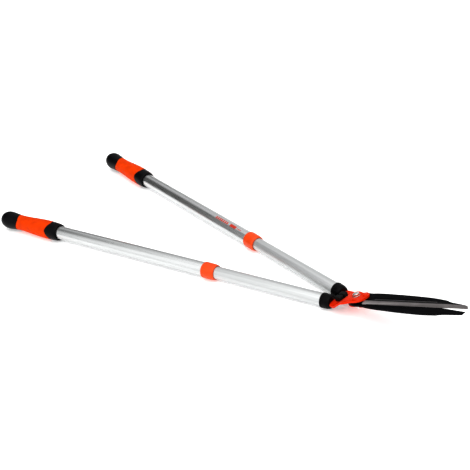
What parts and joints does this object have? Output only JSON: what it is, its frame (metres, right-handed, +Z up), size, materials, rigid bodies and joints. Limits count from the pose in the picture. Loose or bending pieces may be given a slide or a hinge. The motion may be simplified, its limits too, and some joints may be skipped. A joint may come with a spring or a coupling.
{
  "type": "hedge shears",
  "caption": "Telescopic hedge shears: black straight blades on orange tangs, pivot bolt, extending aluminium handles with twist-lock collars and soft grips.",
  "frame": {"origin": "on the surface the shears lie on, under the middle of their bounding box", "axes": "+X from the grips to the blade tips along the centre line, +Y to the left handle, +Z up from the surface"},
  "size_m": [0.9934, 0.3036, 0.0815],
  "materials": {
    "blade_black": "black non-stick coat, satin, ground bright at the edge",
    "tang_orange": "powder coat, semi-gloss",
    "steel": "zinc plated",
    "aluminium": "satin anodised, drawn lengthwise",
    "plastic_black": "moulded, semi-gloss",
    "collar_orange": "moulded, satin",
    "grip_orange": "soft overmould, matt",
    "rubber_black": "matt",
    "nylon": "plain"
  },
  "bodies": {
    "right_half": {"blade_top": "blade_black", "tang_top": "tang_orange", "tang_top_rivet_1": "tang_orange", "tang_top_rivet_2": "tang_orange", "pivot_bolt": "steel", "bolt_washer": "steel", "pivot_bush": "steel", "spring_washer": "steel", "pivot_nut": "steel", "right_buffer": "rubber_black", "right_socket": "plastic_black", "right_socket_screw": "steel", "right_inner_tube": "aluminium", "right_guide_bush": "nylon"},
    "left_half": {"blade_bottom": "blade_black", "tang_bottom": "tang_orange", "tang_bottom_rivet_1": "tang_orange", "tang_bottom_rivet_2": "tang_orange", "left_buffer": "rubber_black", "left_socket": "plastic_black", "left_socket_screw": "steel", "left_inner_tube": "aluminium", "left_guide_bush": "nylon"},
    "right_grip": {"right_outer_tube": "aluminium", "right_collet": "nylon", "right_grip_core": "plastic_black", "right_grip_sleeve": "grip_orange"},
    "left_grip": {"left_outer_tube": "aluminium", "left_collet": "nylon", "left_grip_core": "plastic_black", "left_grip_sleeve": "grip_orange"},
    "right_collar": {"right_collar": "collar_orange"},
    "left_collar": {"left_collar": "collar_orange"}
  },
  "joints": [
    {"name": "blade_pivot", "type": "hinge", "parent": "right_half", "child": "left_half", "pos_m": [0.29682, 0, 0.02536], "axis": [0.2629, 0, -0.9648], "range_deg": [-3, 50]},
    {"name": "right_grip_slide", "type": "slide", "parent": "right_half", "child": "right_grip", "axis": [0.9865, 0.1633, -0.0079], "range_m": [0, 0.2]},
    {"name": "left_grip_slide", "type": "slide", "parent": "left_half", "child": "left_grip", "axis": [0.9865, -0.1633, -0.0079], "range_m": [0, 0.2]},
    {"name": "right_collar_twist", "type": "hinge", "parent": "right_grip", "child": "right_collar", "pos_m": [0.01795, -0.05267, 0.01439], "axis": [0.9865, 0.1633, -0.0079], "range_deg": [0, 90]},
    {"name": "left_collar_twist", "type": "hinge", "parent": "left_grip", "child": "left_collar", "pos_m": [0.01795, 0.05267, 0.01439], "axis": [0.9865, -0.1633, -0.0079], "range_deg": [0, 90]}
  ]
}
